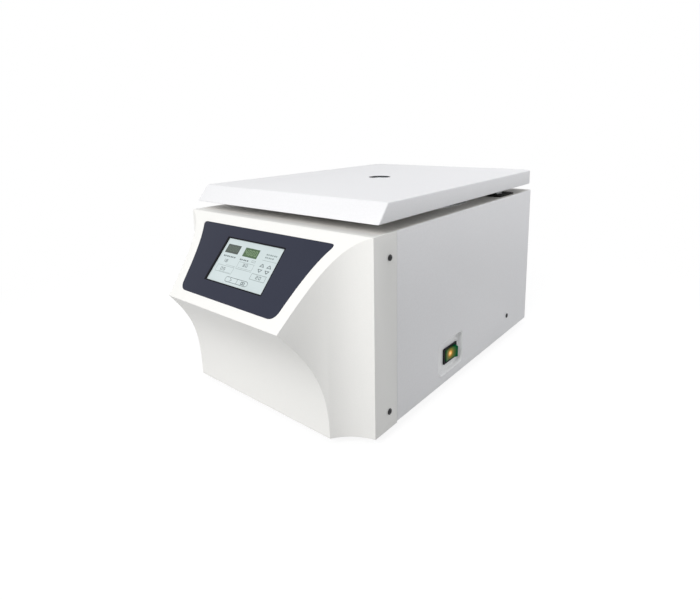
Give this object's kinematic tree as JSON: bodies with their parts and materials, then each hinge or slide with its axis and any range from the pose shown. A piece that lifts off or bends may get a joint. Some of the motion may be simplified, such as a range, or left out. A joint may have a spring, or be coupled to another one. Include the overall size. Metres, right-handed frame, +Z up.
{
  "type": "benchtop centrifuge",
  "caption": "Closed benchtop centrifuge: flat hinged lid with a round sight port, moulded front with leaning touch display, swing-out rotor.",
  "frame": {"origin": "under the middle of the machine, on the plane that its feet stand on", "axes": "+X to the machine's right side as its user sees it, +Y from the display to the back, +Z up"},
  "size_m": [0.3636, 0.594, 0.302],
  "materials": {
    "white_plastic": "fine satin moulded surface",
    "white_paint": "white powder coat with a fine texture",
    "navy_overlay": "dark blue printed film, satin",
    "screen_glass": "touch glass over a pale display",
    "black_plastic": "black moulded plastic",
    "black_rubber": "black rubber",
    "green_rocker": "translucent green rocker",
    "stainless": "brushed stainless steel",
    "zinc_steel": "zinc plated steel",
    "aluminium": "anodised aluminium",
    "motor_dark": "dark motor enamel",
    "clear_window": "clear sight window"
  },
  "bodies": {
    "base": {"front_panel": "white_plastic", "control_overlay": "navy_overlay", "touch_screen": "screen_glass", "display_module": "zinc_steel", "housing_wrap": "white_paint", "top_deck": "white_paint", "base_pan": "zinc_steel", "foot_1": "black_rubber", "foot_2": "black_rubber", "foot_3": "black_rubber", "foot_4": "black_rubber", "chamber_wall": "stainless", "chamber_floor": "stainless", "chamber_gasket": "black_rubber", "motor_mount_1": "black_rubber", "motor_mount_2": "black_rubber", "motor_mount_3": "black_rubber", "motor_plate": "zinc_steel", "motor": "motor_dark", "lock_housing": "black_plastic", "hinge_base_left": "zinc_steel", "hinge_base_right": "zinc_steel", "hinge_pin_left": "stainless", "hinge_pin_right": "stainless", "spring_anchor_left": "zinc_steel", "spring_anchor_right": "zinc_steel", "spring_grommet_left": "black_plastic", "spring_grommet_right": "black_plastic", "switch_recess": "white_paint", "switch_body": "black_plastic", "mains_inlet": "black_plastic", "drive_unit": "aluminium", "side_screw_upper_left": "black_plastic", "side_screw_upper_right": "black_plastic", "side_screw_lower_left": "black_plastic", "side_screw_lower_right": "black_plastic", "side_screw_rear_left": "black_plastic", "side_screw_rear_right": "black_plastic"},
    "lid": {"lid_shell": "white_paint", "lid_liner": "stainless", "port_sleeve": "black_plastic", "port_window": "clear_window", "lid_striker": "stainless", "hinge_leaf_left": "zinc_steel", "hinge_leaf_right": "zinc_steel", "spring_bracket_left": "zinc_steel", "spring_bracket_right": "zinc_steel"},
    "rotor": {"drive_shaft": "stainless", "rotor_cross": "aluminium", "rotor_nut": "black_plastic"},
    "lock_bolt": {"lock_bolt": "stainless"},
    "power_rocker": {"power_rocker": "green_rocker"},
    "bucket_1": {"bucket_1": "aluminium"},
    "bucket_2": {"bucket_2": "aluminium"},
    "bucket_3": {"bucket_3": "aluminium"},
    "bucket_4": {"bucket_4": "aluminium"},
    "spring_tube_left": {"spring_tube_left": "black_plastic"},
    "spring_rod_left": {"spring_rod_left": "stainless"},
    "spring_tube_right": {"spring_tube_right": "black_plastic"},
    "spring_rod_right": {"spring_rod_right": "stainless"}
  },
  "joints": [
    {"name": "lid_hinge", "type": "hinge", "parent": "base", "child": "lid", "pos_m": [0, 0.286, 0.2815], "axis": [-1, 0, 0], "range_deg": [0, 75]},
    {"name": "rotor_spin", "type": "hinge", "parent": "base", "child": "rotor", "pos_m": [0, 0.055, 0.206], "axis": [0, 0, 1], "continuous": true},
    {"name": "bucket_swing_1", "type": "hinge", "parent": "rotor", "child": "bucket_1", "pos_m": [0.07, 0.055, 0.206], "axis": [0, -1, 0], "range_deg": [0, 90]},
    {"name": "bucket_swing_2", "type": "hinge", "parent": "rotor", "child": "bucket_2", "pos_m": [0, 0.125, 0.206], "axis": [1, 0, 0], "range_deg": [0, 90]},
    {"name": "bucket_swing_3", "type": "hinge", "parent": "rotor", "child": "bucket_3", "pos_m": [-0.07, 0.055, 0.206], "axis": [0, 1, 0], "range_deg": [0, 90]},
    {"name": "bucket_swing_4", "type": "hinge", "parent": "rotor", "child": "bucket_4", "pos_m": [0, -0.015, 0.206], "axis": [-1, 0, 0], "range_deg": [0, 90]},
    {"name": "lock_bolt_slide", "type": "slide", "parent": "base", "child": "lock_bolt", "axis": [0, 1, 0], "range_m": [0, 0.009]},
    {"name": "power_rocker_tip", "type": "hinge", "parent": "base", "child": "power_rocker", "pos_m": [0.174, -0.007, 0.0485], "axis": [0, 0, 1], "range_deg": [0, 14]},
    {"name": "spring_pivot_left", "type": "hinge", "parent": "base", "child": "spring_tube_left", "pos_m": [-0.153, 0.135, 0.103], "axis": [1, 0, 0], "range_deg": [-2.27, 0.1]},
    {"name": "spring_slide_left", "type": "slide", "parent": "spring_tube_left", "child": "spring_rod_left", "axis": [0, 0.3511, 0.9363], "range_m": [0, 0.11325]},
    {"name": "spring_pivot_right", "type": "hinge", "parent": "base", "child": "spring_tube_right", "pos_m": [0.153, 0.135, 0.103], "axis": [1, 0, 0], "range_deg": [-2.27, 0.1]},
    {"name": "spring_slide_right", "type": "slide", "parent": "spring_tube_right", "child": "spring_rod_right", "axis": [0, 0.3511, 0.9363], "range_m": [0, 0.11325]}
  ],
  "couplings": [
    {"joint": "spring_pivot_left", "follows": "lid_hinge", "ratio": -0.028943},
    {"joint": "spring_slide_left", "follows": "lid_hinge", "m_per_rad": 0.086137},
    {"joint": "spring_pivot_right", "follows": "lid_hinge", "ratio": -0.028943},
    {"joint": "spring_slide_right", "follows": "lid_hinge", "m_per_rad": 0.086137}
  ]
}
